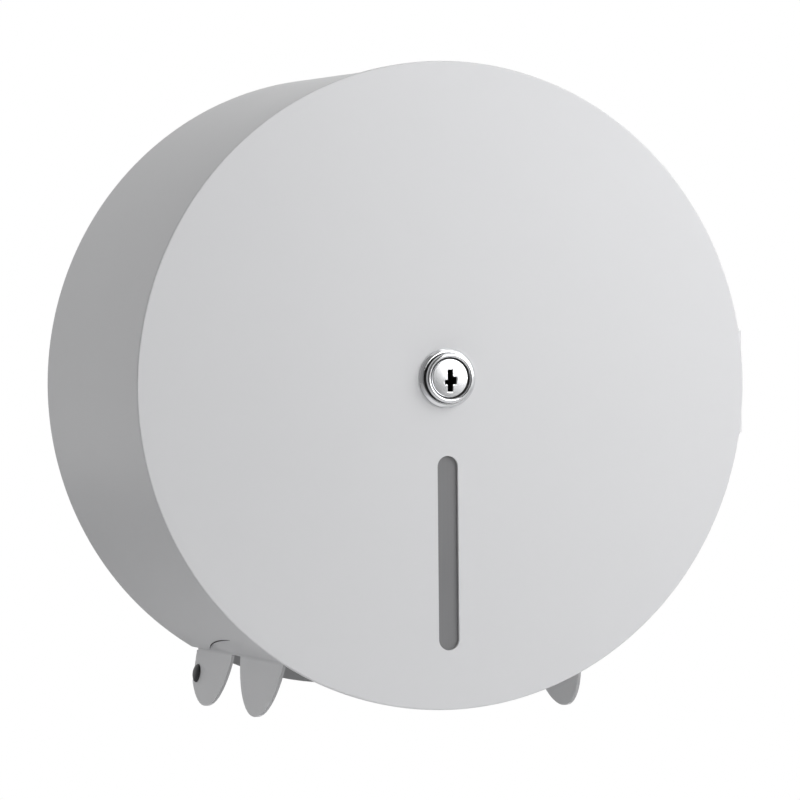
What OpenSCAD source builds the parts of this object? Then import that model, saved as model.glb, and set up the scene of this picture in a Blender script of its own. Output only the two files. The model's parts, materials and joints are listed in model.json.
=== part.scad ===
// Wall-mounted drum dispenser for one jumbo toilet roll.
// A rolled side band stands on a wall plate; a round lid on a side hinge closes it
// and locks on the end of the fixed spindle. Paper leaves through the open bottom,
// between two pairs of rounded tear teeth.
// The wall is the plane y = 0, the room is on the -y side and z is up. The origin
// is the middle of the four wall slots.

/* [Drum] */
// Diameter of the round lid
lid_d = 250; // [220:5:300]
// From the wall to the face of the lid
drum_depth = 122.5; // [112:0.5:150]
// Sheet thickness of the side band
band_t = 1.2; // [0.8:0.1:1.6]
// Sheet thickness of the wall plate
plate_t = 1.5; // [1:0.1:2]
// How far the edge of the lid stands proud of the band
lid_overhang = 1.2; // [0.8:0.1:2]

/* [Lid] */
// Sheet thickness of the lid
lid_t = 1.2; // [0.8:0.1:1.6]
// Depth of the rolled edge of the lid
edge_depth = 3; // [2.4:0.1:3.2]
// Rounding at the front of the rolled edge
edge_round = 0.6; // [0.4:0.1:2]
// Open seam between the rolled edge and the band
lid_seam = 0.4; // [0.3:0.1:0.5]
// Depth of the flange that enters the band, behind the rolled edge
flange_depth = 9; // [5:0.5:10]
// Free space between the flange and the inside of the band
flange_gap = 1.2; // [0.9:0.1:1.6]

/* [Level window] */
// Width of the slot in the lid
slot_w = 8.4; // [5:0.2:9]
// From the edge of the lid up to the bottom of the slot
slot_edge_in = 23; // [17:1:40]
// From the spindle axis down to the top of the slot
slot_drop = 30; // [28:1:34]
// Width of the window strip behind the slot
window_w = 15; // [13:0.5:20]
// Thickness of the window strip
window_t = 1; // [0.6:0.1:1.5]
// How far the strip runs on past each end of the slot
window_lap = 8; // [6.5:0.5:9]
// Diameter of the studs that hold the strip
stud_d = 3; // [2:0.2:3.4]
// Thickness of the push nuts on the studs
push_nut_t = 0.6; // [0.4:0.1:1]

/* [Paper outlet] */
// Clear width of the outlet between the tear plates
outlet_w = 121.4; // [100:0.2:130]
// Sheet thickness of the tear plates
tear_t = 1.2; // [0.8:0.1:1.5]
// Outward lean of the teeth from upright, in degrees
tooth_lean = 9.2; // [6:0.2:11]
// Width of one tooth along the depth of the drum
tooth_w = 53.6; // [48:0.2:56]
// From where the rounding of a tooth starts down to its tip
tooth_drop = 30.8; // [26:0.2:34]
// From the face of the lid to the middle of the front teeth
front_tooth_in = 42.6; // [41:0.2:46]
// From the wall to the middle of the rear teeth
rear_tooth_out = 18.6; // [16.6:0.2:20.2]
// Inner radius of the bend above the teeth
bend_r = 2; // [1.2:0.1:2.6]
// Length of the tear plate's flange inside the band
tear_flange_len = 24; // [20:1:34]
// Height of the arched ends of the band above the teeth
arch_rise = 14; // [8:1:16]
// Head diameter of the rear tooth rivets
rivet_head_d = 7.4; // [5:0.2:7.8]
// Shank diameter of the rear tooth rivets
rivet_d = 3.2; // [2.4:0.1:4]

/* [Spindle] */
// Height of the spindle and lock above the middle of the drum
axis_up = 3; // [0:0.5:6]
// Outer diameter of the spindle tube
spindle_d = 40; // [38.5:0.5:41]
// Wall of the spindle tube
spindle_wall = 2; // [1.6:0.1:2.2]
// From the face of the lid back to the end of the spindle
spindle_in = 16; // [15.5:0.5:17]
// Outer diameter of the roll hub
hub_d = 56; // [53:1:57]
// Wall of the two sleeves of the hub
hub_wall = 2.4; // [1.6:0.1:2.8]
// Diameter of the hub's back flange
hub_flange_d = 86; // [74:1:96]
// Thickness of the hub's back flange
hub_flange_t = 2.5; // [1.5:0.1:3.5]
// Number of ribs between the two sleeves of the hub
hub_ribs = 8; // [4:1:12]
// Thickness of the keeper plate in the spindle end
keeper_t = 2; // [1.5:0.1:2.5]

/* [Lock] */
// Diameter of the trim collar around the lock
collar_d = 23; // [21.6:0.2:25]
// Thickness of the trim collar
collar_t = 1.6; // [1.2:0.1:1.8]
// Diameter of the lock head
lock_head_d = 19.4; // [18.8:0.1:20]
// Diameter of the lock barrel
barrel_d = 18; // [17.6:0.1:18.4]
// Diameter of the turning plug
plug_d = 14.9; // [14:0.1:15.4]
// How far the lock head stands out from the lid
lock_out = 4.2; // [3.6:0.1:5]
// Height of the keyhole
key_h = 8.6; // [7:0.2:9]
// Width of the keyhole
key_w = 2.2; // [1.8:0.1:2.6]
// From the lock axis to the tip of the cam
cam_len = 16.6; // [15.4:0.1:16.8]
// Width of the cam
cam_w = 12; // [11.4:0.2:12.6]
// Thickness of the cam
cam_t = 2; // [1.6:0.1:2.4]

/* [Hinge] */
// From the edge of the lid in to the hinge axis
hinge_inset = 1; // [0.8:0.1:1.2]
// From the face of the lid back to the hinge axis
hinge_in = 6.1; // [6.1:0.1:6.5]
// Diameter of the knuckles
knuckle_d = 5.4; // [4.8:0.1:5.4]
// Diameter of the hinge pin
pin_d = 2.5; // [2:0.1:2.8]
// Length of the middle knuckle, on the lid
knuckle_len = 19; // [14:0.5:22]
// Length of each outer knuckle, on the band
side_knuckle_len = 10; // [7:0.5:11]
// Sheet thickness of both leaves
leaf_t = 1.2; // [1:0.1:1.2]

/* [Wall fixing] */
// Spacing of the wall slots, across and up
wall_pitch = 130; // [124:1:144]
// Width of the wall slots
wall_slot_w = 5.5; // [4.5:0.1:6.5]
// Length of the wall slots, end to end
wall_slot_len = 12; // [9:0.5:15]
// Height of the raised pad under the spindle
pad_h = 6.5; // [6.2:0.1:8]
// Diameter of the raised pad
pad_d = 98; // [90:1:104]
// Height of the rim that carries the band
rim_h = 12; // [8:1:20]

/* [Hidden] */

$fn = 96;
drum_fn = 192;        // of what lies in the band
arc_steps = 12;       // of the bends drawn as outlines
eps = 0.01;

// Clearances
weld_gap = 0.05;      // between sheets that are spot welded or pushed home
run_gap = 0.08;       // radial play of the hub on the spindle
pin_gap = 0.05;       // radial play of the hinge pin and of the lock plug
part_gap = 0.5;       // end play between parts that move past each other
hole_gap = 0.3;       // radial play of a screw in its hole
cut_over = 1;         // how far a cutting shape runs on past what it cuts

// Radii of the drum
lid_r = lid_d / 2;
band_r = lid_r - lid_overhang;
band_in_r = band_r - band_t;
seat_r = band_in_r - weld_gap;            // outside of everything that lies in the band
flange_r = band_in_r - flange_gap;        // outside of the lid's flange
band_front = drum_depth - edge_depth - lid_seam;
flange_back = drum_depth - edge_depth - flange_depth;
lid_back = drum_depth - lid_t;            // inner face of the lid

// Tear plates: the bend's centre lies bend_r off both the flange and the leg
lean_n = [cos(tooth_lean), sin(tooth_lean)];
lean_d = [sin(tooth_lean), -cos(tooth_lean)];
root_y = -sqrt(pow(seat_r, 2) - pow(outlet_w / 2, 2));
leg_off = lean_n * [outlet_w / 2, root_y] + tear_t;   // outer face of the leg from the axis
bend_off = leg_off + bend_r;
bend_c = lean_n * bend_off + lean_d * sqrt(pow(seat_r + bend_r, 2) - pow(bend_off, 2));
bend_angle = atan2(bend_c[0], -bend_c[1]);            // from straight down
leg_top = bend_c - lean_n * bend_r;
band_cut_gap = 0.8;                                   // from the bends to the cut band
band_cut_angle = bend_angle + asin(band_cut_gap / band_r);
arch_out = 95;                                        // crest of the band's arch from the wall
arch_r = 190;
arch_reach = 10;                                      // of its cut, past the band each way
tear_flange_angle = tear_flange_len / seat_r * 180 / PI;
tooth_rise = 8.9;                                     // rounding starts above the root
tooth_y = root_y + tooth_rise;
front_tooth_out = drum_depth - front_tooth_in;        // middle of the front teeth from the wall
rivet_out = 4.6;                                      // rivet centre from the wall
rivet_along = 9.2;                                    // and down the leg from the bend
rivet_head_h = 1.6;
rivet_tail_h = 1.2;
rivet_tail_lip = 0.9;                                 // of the set end, past the shank
ear_depth = 12;                                       // of the wall plate's ears
ear_len = 13.5;
ear_lap = 6;                                          // of the ears on the wall plate

// Wall plate
pad_r = pad_d / 2;
pad_slope = 8;                                        // foot of the pad's cone
pad_top = pad_h + plate_t;
rim_cut_gap = 3.2;                                    // from the tear flanges to the rim
rim_cut_angle = bend_angle + tear_flange_angle + asin(rim_cut_gap / seat_r);

// Spindle and hub, as heights above the wall
base_r = 36;
base_t = 2.5;
boss_r = 23.5;
boss_h = 4.5;
base_top = pad_top + base_t;
boss_top = base_top + boss_h;
screw_pitch_r = 29;
screw_r = 2.5;
screw_head_r = 4.5;
screw_head_h = 2.8;
screw_socket_r = 1.9;
washer_r = 5.2;
washer_t = 1;
nut_across = 8;
nut_h = 4;
screw_end = 0.5;                                      // of the screws past their nuts
spindle_r = spindle_d / 2;
bore_r = spindle_r - spindle_wall;
spindle_top = drum_depth - spindle_in;
ring_t = 1.5;
ring_depth = 0.8;                                     // of the snap ring's groove
ring_proud = 1.8;                                     // of the ring outside the tube
ring_from_end = 4;
ring_gap_angle = 40;
ring_bottom = spindle_top - ring_from_end - ring_t;
thrust_t = 1;
thrust_gap = 0.2;
hub_bottom = boss_top + thrust_t + thrust_gap;
hub_top = ring_bottom - part_gap;
hub_r = hub_d / 2;
hub_in_r = spindle_r + run_gap;
hub_chamfer = 1.2;
rib_t = 2;
rib_lap = 0.5;                                        // of the ribs into both sleeves
rib_short = 2;                                        // of the sleeves' front end

// Lock, as heights above the wall
plug_r = plug_d / 2;
barrel_r = barrel_d / 2;
head_top = drum_depth + lock_out;
head_recess = 1.3;                                    // dark groove round the plug
head_recess_r = 0.75;
head_round = 0.8;
plug_below = 0.7;                                     // plug face behind the head's edge
keeper_bottom = spindle_top - keeper_t;
cam_top = keeper_bottom - part_gap;
cam_gap = 0.4;                                        // from the cam to the barrel
barrel_bottom = cam_top + cam_gap;
barrel_flat = 0.7;                                    // cut from each side of the barrel
tang_w = 6.4;
tang_fit = 0.1;
tang_short = 0.1;                                     // tang ends inside the cam
key_depth = 11;
ward_h = 3;
ward_w = 1.5;
small_ward_h = 1.8;
small_ward_w = 1.1;
key_drop = 1;                                         // of the keyway below the middle of the plug
plug_chamfer = 0.5;
lock_washer_t = 0.8;
lock_washer_r = 13;
lock_nut_across = 22;
lock_nut_h = 3;
cam_washer_r = 5;
cam_washer_t = 0.8;
cam_screw_r = 2;
cam_screw_len = 7;
cam_screw_end = 0.5;                                  // depth of its hole past the tip
cross_w = 0.8;
cross_len = 4.3;
cam_head_r = 3.6;
cam_head_h = 2.4;
keeper_hole_gap = 2;                                  // round the barrel
keeper_hole_r = barrel_r + keeper_hole_gap;
keeper_side = 2.5;                                    // free width each side of the cam

// Level window
slot_r = slot_w / 2;
slot_top = axis_up - slot_drop;
slot_bottom = slot_edge_in - lid_r;
stud_off = 5;                                         // stud beyond the end of the slot
stud_end = 2;                                         // of the studs past their nuts
stud_len = window_t + push_nut_t + stud_end;
push_nut_w = 2.7;                                     // width of the nut's ring
push_nut_r = stud_d / 2 + push_nut_w;

// Hinge, in the plan x, height above the wall
hinge_x = lid_r - hinge_inset;
hinge_out = drum_depth - hinge_in;
knuckle_r = knuckle_d / 2;
pin_r = pin_d / 2;
leaf_edge = hinge_x - knuckle_r + leaf_t;             // outer edge of the lid's leaf
lid_leaf_w = 27;
band_leaf_w = 25;
knuckle_space = 0.5;
knuckle_end = knuckle_len / 2 + knuckle_space + side_knuckle_len;
pin_head_h = 0.8;
pin_head_lip = 0.7;
pin_head_r = pin_r + pin_head_lip;
notch_end_gap = 1.2;                                  // past the heads of the pin
notch_half = knuckle_end + pin_head_h + notch_end_gap;
notch_gap = 0.9;                                      // behind the knuckles
notch_bottom = hinge_out - knuckle_r - notch_gap;
tail_in = 2.6;                                        // of the band leaf's thick root

paint = [0.87, 0.87, 0.88];
paint_shade = [0.8, 0.81, 0.82];
zinc = [0.72, 0.73, 0.74];
chrome = [0.8, 0.8, 0.82];
nylon = [0.9, 0.9, 0.88];
smoke = [0.42, 0.43, 0.44];
black = [0.1, 0.1, 0.1];

// Every part is drawn lying on its back: x across, y up the wall, z out from the
// wall. This hangs it on the wall.
module hung() { rotate([90, 0, 0]) children(); }

// Places what turns on the spindle axis, at a height above the wall
module on_axis(h = 0) { translate([0, axis_up, h]) children(); }

module ring(r_out, r_in, h) {
    difference() {
        cylinder(r = r_out, h = h);
        translate([0, 0, -eps]) cylinder(r = r_in, h = h + 2 * eps);
    }
}

// Sector of the drum round straight down, out to any radius
module bottom_sector(half_angle, h) {
    reach = 2 * lid_r;
    linear_extrude(h)
        polygon([
            [0, 0],
            [-reach * sin(half_angle), -reach * cos(half_angle)],
            [0, -2 * reach],
            [reach * sin(half_angle), -reach * cos(half_angle)]
        ]);
}

module screw_places() {
    for (a = [45:90:315])
        on_axis() rotate([0, 0, a]) translate([screw_pitch_r, 0, 0]) children();
}

module wall_slot() {
    run = (wall_slot_len - wall_slot_w) / 2;
    for (side = [-1, 1])
        translate([side * run, 0, -eps]) cylinder(d = wall_slot_w, h = plate_t + 2 * eps);
    translate([-run, -wall_slot_w / 2, -eps]) cube([2 * run, wall_slot_w, plate_t + 2 * eps]);
}

// Frame at a rear tooth rivet: z runs out through the tooth, away from the outlet
module rivet_place() {
    p = leg_top + lean_d * rivet_along;
    translate([p[0], p[1], rivet_out]) rotate([0, 0, tooth_lean]) rotate([0, 90, 0]) children();
}

module pan() {
    foot = pad_r + pad_slope;
    rotate_extrude($fn = drum_fn)
        polygon([
            [0, pad_h], [pad_r, pad_h], [foot, 0], [seat_r, 0], [seat_r, rim_h],
            [seat_r - plate_t, rim_h], [seat_r - plate_t, plate_t],
            [foot, plate_t], [pad_r, pad_top], [0, pad_top]
        ]);
}

// Ear of the wall plate behind a rear tooth, flat against its inner face
module ear() {
    top = leg_top - lean_n * (tear_t + weld_gap) - lean_d * ear_lap;
    bottom = top + lean_d * (ear_lap + ear_len);
    intersection() {
        linear_extrude(ear_depth)
            polygon([top, bottom, bottom - lean_n * plate_t, top - lean_n * plate_t]);
        rotate([0, -90, 0]) translate([0, 0, -lid_r])
            linear_extrude(lid_r) tooth_outline(rear_tooth_out);
    }
}

module back_plate() color(paint_shade) hung() {
    difference() {
        union() {
            difference() {
                pan();
                translate([0, 0, plate_t]) difference() {
                    bottom_sector(rim_cut_angle, rim_h);
                    cylinder(r = seat_r - 2 * plate_t, h = rim_h);
                }
            }
            for (side = [0, 1]) mirror([side, 0, 0]) ear();
        }
        for (x = [-1, 1], y = [-1, 1])
            translate([x, y, 0] * wall_pitch / 2) wall_slot();
        screw_places() translate([0, 0, pad_h - eps])
            cylinder(r = screw_r + hole_gap, h = plate_t + 2 * eps);
        for (side = [0, 1]) mirror([side, 0, 0]) rivet_place()
            translate([0, 0, -tear_t - 2 * plate_t])
                cylinder(r = rivet_d / 2 + weld_gap, h = 2 * plate_t + tear_t, $fn = 32);
    }
}

// Arched end of the band over the tear plate
module band_arch() {
    rotate([0, 0, band_cut_angle])
        translate([arch_rise - arch_r, arch_reach - band_r, arch_out])
            rotate([90, 0, 0]) cylinder(r = arch_r, h = 2 * arch_reach, $fn = 2 * drum_fn);
}

module side_band() color(paint) hung() {
    difference() {
        ring(band_r, band_in_r, band_front, $fn = drum_fn);
        translate([0, 0, -eps]) bottom_sector(band_cut_angle, drum_depth);
        for (side = [0, 1]) mirror([side, 0, 0]) band_arch();
        translate([0, -notch_half, notch_bottom])
            cube([2 * lid_r, 2 * notch_half, drum_depth]);
    }
}

// Points first to last of an arc round a centre, in steps of one part in arc_steps
function arc_points(centre, r, from, to, first, last) = [
    for (i = [first:last])
        let (turn = from + (to - from) * i / arc_steps)
            centre + r * [cos(turn), sin(turn)]
];

// Section of a tear plate across its bend: flange in the band, bend and leg
module tear_section() {
    inner_r = seat_r - tear_t;
    start = bend_angle - 90;
    end = start + tear_flange_angle;
    bend_start = bend_angle + 90;
    bend_end = tooth_lean + 180;
    tip = leg_top + lean_d * 2 * tooth_drop;
    polygon(concat(
        arc_points([0, 0], seat_r, end, start, 0, arc_steps),
        arc_points(bend_c, bend_r, bend_start, bend_end, 1, arc_steps),
        [tip, tip - lean_n * tear_t],
        arc_points(bend_c, bend_r + tear_t, bend_end, bend_start, 0, arc_steps),
        arc_points([0, 0], inner_r, start, end, 1, arc_steps)
    ));
}

// Outline of one tooth and the sheet above it, height against distance from the wall
module tooth_outline(middle) {
    half = tooth_w / 2;
    steps = 30;
    polygon(concat(
        [[middle - half, 0]],
        [for (i = [0:steps]) [
            middle - half * cos(180 * i / steps),
            tooth_y - tooth_drop * sin(180 * i / steps)
        ]],
        [[middle + half, 0]]
    ));
}

module tear_outline() {
    clear = plate_t + weld_gap;
    difference() {
        union() {
            tooth_outline(rear_tooth_out);
            tooth_outline(front_tooth_out);
            translate([0, root_y]) square([front_tooth_out, -root_y]);
        }
        translate([-tooth_w, -2 * lid_r]) square([tooth_w, 2 * lid_r]);
        translate([-eps, leg_top[1]]) square([clear + eps, lid_r]);
    }
}

module tear_plate() {
    difference() {
        intersection() {
            linear_extrude(drum_depth) tear_section();
            rotate([0, -90, 0]) translate([0, 0, -lid_r])
                linear_extrude(lid_r) tear_outline();
        }
        rivet_place() translate([0, 0, -2 * tear_t])
            cylinder(r = rivet_d / 2 + weld_gap, h = 3 * tear_t, $fn = 32);
    }
}

module tear_plate_right() color(paint) hung() tear_plate();

module tear_plate_left() color(paint) hung() mirror([1, 0, 0]) tear_plate();

module tooth_rivet() {
    grip = tear_t + weld_gap + plate_t;
    head_r = rivet_head_d / 2;
    shank_r = rivet_d / 2;
    tail_r = shank_r + rivet_tail_lip;
    rotate_extrude($fn = 48)
        polygon([
            [0, -grip - rivet_tail_h], [tail_r * 0.92, -grip - rivet_tail_h],
            [tail_r, -grip - weld_gap], [shank_r, -grip - weld_gap],
            [shank_r, weld_gap], [head_r, weld_gap], [head_r * 0.92, rivet_head_h * 0.45],
            [head_r * 0.66, rivet_head_h * 0.85], [head_r * 0.3, rivet_head_h],
            [0, rivet_head_h]
        ]);
}

module tooth_rivets() color(black) hung() {
    for (side = [0, 1]) mirror([side, 0, 0]) rivet_place() tooth_rivet();
}

module spindle_base() color(zinc) hung() difference() {
    on_axis(pad_top) {
        cylinder(r = base_r, h = base_t);
        cylinder(r = boss_r, h = base_t + boss_h);
    }
    on_axis(pad_top - eps) cylinder(r = spindle_r + weld_gap, h = base_t + boss_h + 2 * eps);
    screw_places() translate([0, 0, pad_top - eps])
        cylinder(r = screw_r + hole_gap, h = base_t + 2 * eps, $fn = 48);
}

module spindle_tube() color(zinc) hung() on_axis() difference() {
    translate([0, 0, pad_top]) ring(spindle_r, bore_r, spindle_top - pad_top);
    translate([0, 0, ring_bottom - weld_gap])
        ring(spindle_r + ring_proud, spindle_r - ring_depth, ring_t + 2 * weld_gap);
}

module base_screws() color(zinc) hung() screw_places() {
    end = pad_h - washer_t - nut_h - screw_end;
    difference() {
        union() {
            translate([0, 0, end]) cylinder(r = screw_r, h = base_top - end + eps, $fn = 48);
            translate([0, 0, base_top]) cylinder(r = screw_head_r, h = screw_head_h, $fn = 48);
        }
        translate([0, 0, base_top + screw_head_h / 3])
            cylinder(r = screw_socket_r, h = screw_head_h, $fn = 6);
    }
}

module base_washers() color(zinc) hung() screw_places()
    translate([0, 0, pad_h - washer_t]) ring(washer_r, screw_r + weld_gap, washer_t, $fn = 48);

module base_nuts() color(zinc) hung() screw_places()
    translate([0, 0, pad_h - washer_t - nut_h]) difference() {
        cylinder(d = nut_across / cos(30), h = nut_h, $fn = 6);
        translate([0, 0, -eps]) cylinder(r = screw_r + weld_gap, h = nut_h + 2 * eps, $fn = 48);
    }

module keeper_plate() color(zinc) hung() on_axis(keeper_bottom) difference() {
    free = cam_w / 2 + keeper_side;
    cylinder(r = bore_r - weld_gap, h = keeper_t);
    translate([0, 0, -eps]) cylinder(r = keeper_hole_r, h = keeper_t + 2 * eps);
    translate([-free, -2 * bore_r, -eps]) cube([2 * free, 2 * bore_r, keeper_t + 2 * eps]);
}

module thrust_washer() color(nylon) hung()
    on_axis(boss_top) ring(boss_r, spindle_r + run_gap, thrust_t);

// Sleeve for the roll's core round a running sleeve, joined by ribs and a back flange
module roll_hub() color(nylon) hung() on_axis(hub_bottom) {
    len = hub_top - hub_bottom;
    inner = hub_in_r + hub_wall;
    outer = hub_r - hub_wall;
    ring(inner, hub_in_r, len);
    rotate_extrude()
        polygon([
            [outer, 0], [hub_r, 0], [hub_r, len - hub_chamfer],
            [hub_r - hub_chamfer, len], [outer, len]
        ]);
    ring(hub_flange_d / 2, hub_in_r, hub_flange_t);
    for (i = [0:hub_ribs - 1])
        rotate([0, 0, 360 * i / hub_ribs])
            translate([inner - rib_lap, -rib_t / 2, 0])
                cube([outer - inner + 2 * rib_lap, rib_t, len - rib_short]);
}

module snap_ring() color(zinc) hung() on_axis(ring_bottom) difference() {
    ring(spindle_r + ring_proud, spindle_r - ring_depth + weld_gap, ring_t);
    translate([0, 0, -eps]) linear_extrude(ring_t + 2 * eps)
        polygon([
            [0, 0],
            [-2 * spindle_r * sin(ring_gap_angle / 2), 2 * spindle_r],
            [2 * spindle_r * sin(ring_gap_angle / 2), 2 * spindle_r]
        ]);
}

// One knuckle on the hinge axis, from y = low to y = high
module knuckle(low, high) {
    translate([hinge_x, high, hinge_out]) rotate([90, 0, 0])
        ring(knuckle_r, pin_r + pin_gap, high - low, $fn = 48);
}

// Web that meets the inner side of a knuckle, from its axis height down or up to h
module knuckle_web(low, high, h, thick) {
    bottom = min(h, hinge_out);
    difference() {
        translate([hinge_x - knuckle_r - thick + leaf_t, low, bottom])
            cube([thick, high - low, abs(hinge_out - h)]);
        translate([hinge_x, high + cut_over, hinge_out]) rotate([90, 0, 0])
            cylinder(r = pin_r + pin_gap, h = high - low + 2 * cut_over, $fn = 48);
    }
}

module band_hinge_leaf() color(zinc) hung() {
    leaf_bottom = notch_bottom - band_leaf_w;
    lap = 2;                                          // root of the knuckles on the leaf
    intersection() {
        translate([0, 0, leaf_bottom])
            ring(seat_r, seat_r - leaf_t, band_leaf_w, $fn = drum_fn);
        translate([0, -knuckle_end, 0]) cube([2 * lid_r, 2 * knuckle_end, drum_depth]);
    }
    for (side = [0, 1]) mirror([0, side, 0]) {
        low = knuckle_end - side_knuckle_len;
        knuckle(low, knuckle_end);
        intersection() {
            knuckle_web(low, knuckle_end, notch_bottom - lap, leaf_t + tail_in);
            union() {
                cylinder(r = seat_r, h = drum_depth);
                translate([0, 0, notch_bottom + eps]) cylinder(r = lid_r, h = drum_depth);
            }
        }
    }
}

module lid_hinge_leaf() color(zinc) hung() {
    half = knuckle_len / 2;
    knuckle(-half, half);
    knuckle_web(-half, half, lid_back, leaf_t);
    translate([leaf_edge - lid_leaf_w, -half, lid_back - leaf_t])
        cube([lid_leaf_w, 2 * half, leaf_t]);
}

module hinge_pin() color(zinc) hung() translate([hinge_x, 0, hinge_out]) rotate([90, 0, 0]) {
    half = knuckle_end + weld_gap;
    translate([0, 0, -half]) cylinder(r = pin_r, h = 2 * half, $fn = 48);
    for (side = [0, 1]) mirror([0, 0, side]) translate([0, 0, half])
        cylinder(r = pin_head_r, h = pin_head_h, $fn = 48);
}

// Round-ended slot, drawn round its own vertical middle line
module slot_shape(r, top, bottom) {
    translate([0, top - r]) circle(r = r, $fn = 48);
    translate([0, bottom + r]) circle(r = r, $fn = 48);
    translate([-r, bottom + r]) square([2 * r, top - bottom - 2 * r]);
}

// Round barrel with two flats
module barrel_shape(r, flat) {
    intersection() {
        circle(r = r);
        square([2 * (r - flat), 3 * r], center = true);
    }
}

module lid() color(paint) hung() {
    back = drum_depth - edge_depth;
    leaf_cut = flange_r - 2 * lid_t;                  // the leaf passes the flange here
    steps = 6;
    difference() {
        rotate_extrude($fn = drum_fn)
            polygon(concat(
                [[0, lid_back], [0, drum_depth]],
                [for (i = [0:steps]) [
                    lid_r - edge_round + edge_round * sin(90 * i / steps),
                    drum_depth - edge_round + edge_round * cos(90 * i / steps)
                ]],
                [
                    [lid_r, back], [flange_r, back], [flange_r, flange_back],
                    [flange_r - lid_t, flange_back], [flange_r - lid_t, lid_back]
                ]
            ));
        translate([0, -notch_half, 0]) cube([2 * lid_r, 2 * notch_half, back]);
        translate([leaf_cut, -knuckle_len / 2 - weld_gap, 0])
            cube([leaf_edge + weld_gap - leaf_cut, knuckle_len + 2 * weld_gap, lid_back]);
        translate([0, 0, lid_back - eps]) linear_extrude(lid_t + 2 * eps) {
            slot_shape(slot_r, slot_top, slot_bottom);
            translate([0, axis_up]) barrel_shape(barrel_r + weld_gap, barrel_flat);
        }
    }
}

module level_window() color(smoke) hung() difference() {
    translate([0, 0, lid_back - window_t]) linear_extrude(window_t)
        translate([-window_w / 2, slot_bottom - window_lap])
            square([window_w, slot_top - slot_bottom + 2 * window_lap]);
    for (y = [slot_top + stud_off, slot_bottom - stud_off])
        translate([0, y, lid_back - window_t - eps])
            cylinder(d = stud_d + 2 * weld_gap, h = window_t + 2 * eps, $fn = 32);
}

module window_studs() color(zinc) hung()
    for (y = [slot_top + stud_off, slot_bottom - stud_off])
        translate([0, y, lid_back - stud_len]) cylinder(d = stud_d, h = stud_len, $fn = 32);

module push_nuts() color(zinc) hung()
    for (y = [slot_top + stud_off, slot_bottom - stud_off])
        translate([0, y, lid_back - window_t - push_nut_t])
            ring(push_nut_r, stud_d / 2 + weld_gap, push_nut_t, $fn = 32);

module lock_collar() color(chrome) hung() on_axis(drum_depth) difference() {
    bevel = 1;
    rotate_extrude()
        polygon([
            [0, 0], [collar_d / 2, 0], [collar_d / 2, collar_t - bevel],
            [collar_d / 2 - bevel, collar_t], [0, collar_t]
        ]);
    translate([0, 0, -eps]) cylinder(r = barrel_r + weld_gap, h = collar_t + 2 * eps);
}

module lock_barrel() color(chrome) hung() on_axis() difference() {
    union() {
        translate([0, 0, barrel_bottom]) linear_extrude(drum_depth + collar_t - barrel_bottom + eps)
            barrel_shape(barrel_r, barrel_flat);
        rotate_extrude()
            polygon(concat(
                [[0, drum_depth + collar_t], [lock_head_d / 2, drum_depth + collar_t]],
                [for (i = [0:4]) [
                    lock_head_d / 2 - head_round + head_round * cos(90 * i / 4),
                    head_top - head_round + head_round * sin(90 * i / 4)
                ]],
                [[0, head_top]]
            ));
    }
    translate([0, 0, barrel_bottom - eps])
        cylinder(r = plug_r + pin_gap, h = head_top - barrel_bottom + cut_over);
    translate([0, 0, head_top - head_recess])
        cylinder(r = plug_r + head_recess_r, h = head_recess + cut_over);
}

module lock_washer() color(zinc) hung()
    on_axis(lid_back - lock_washer_t) ring(lock_washer_r, barrel_r + weld_gap, lock_washer_t);

module lock_nut() color(zinc) hung()
    on_axis(lid_back - lock_washer_t - lock_nut_h) difference() {
        cylinder(d = lock_nut_across / cos(30), h = lock_nut_h, $fn = 6);
        translate([0, 0, -eps]) cylinder(r = barrel_r + weld_gap, h = lock_nut_h + 2 * eps);
    }

module lock_plug() color(chrome) hung() on_axis() {
    face = head_top - plug_below;
    difference() {
        union() {
            rotate_extrude()
                polygon([
                    [0, barrel_bottom], [plug_r, barrel_bottom], [plug_r, face - plug_chamfer],
                    [plug_r - plug_chamfer, face], [0, face]
                ]);
            translate([0, 0, cam_top]) cylinder(r = cam_w / 2, h = barrel_bottom - cam_top + eps);
            translate([-tang_w / 2, -tang_w / 2, cam_top - cam_t + tang_short])
                cube([tang_w, tang_w, cam_t + eps]);
        }
        translate([0, -key_drop, face - key_depth]) {
            translate([-key_w / 2, -key_h / 2, 0]) cube([key_w, key_h, key_depth + cut_over]);
            translate([0, -ward_h / 2, 0])
                cube([key_w / 2 + ward_w, ward_h, key_depth + cut_over]);
            translate([-key_w / 2 - small_ward_w, -ward_h / 2, 0])
                cube([key_w, small_ward_h, key_depth + cut_over]);
        }
        translate([0, 0, cam_top - cam_t - eps])
            cylinder(r = cam_screw_r + weld_gap, h = cam_screw_len + cam_screw_end, $fn = 48);
    }
}

module lock_cam() color(zinc) hung() on_axis(cam_top - cam_t) difference() {
    arm = cam_len - cam_w / 2;
    linear_extrude(cam_t) {
        circle(d = cam_w);
        translate([0, -arm]) circle(d = cam_w);
        translate([-cam_w / 2, -arm]) square([cam_w, arm]);
    }
    translate([0, 0, cam_t / 2])
        cube([tang_w + tang_fit, tang_w + tang_fit, 2 * cam_t], center = true);
}

module cam_washer() color(zinc) hung()
    on_axis(cam_top - cam_t - cam_washer_t)
        ring(cam_washer_r, cam_screw_r + weld_gap, cam_washer_t, $fn = 48);

module cam_screw() color(zinc) hung() on_axis(cam_top - cam_t - cam_washer_t) difference() {
    union() {
        translate([0, 0, -eps]) cylinder(r = cam_screw_r, h = cam_screw_len, $fn = 48);
        translate([0, 0, -cam_head_h]) cylinder(r = cam_head_r, h = cam_head_h, $fn = 48);
    }
    for (a = [0, 90]) rotate([0, 0, a])
        translate([-cross_len / 2, -cross_w / 2, -cam_head_h - eps])
            cube([cross_len, cross_w, cam_head_h / 2]);
}

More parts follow.
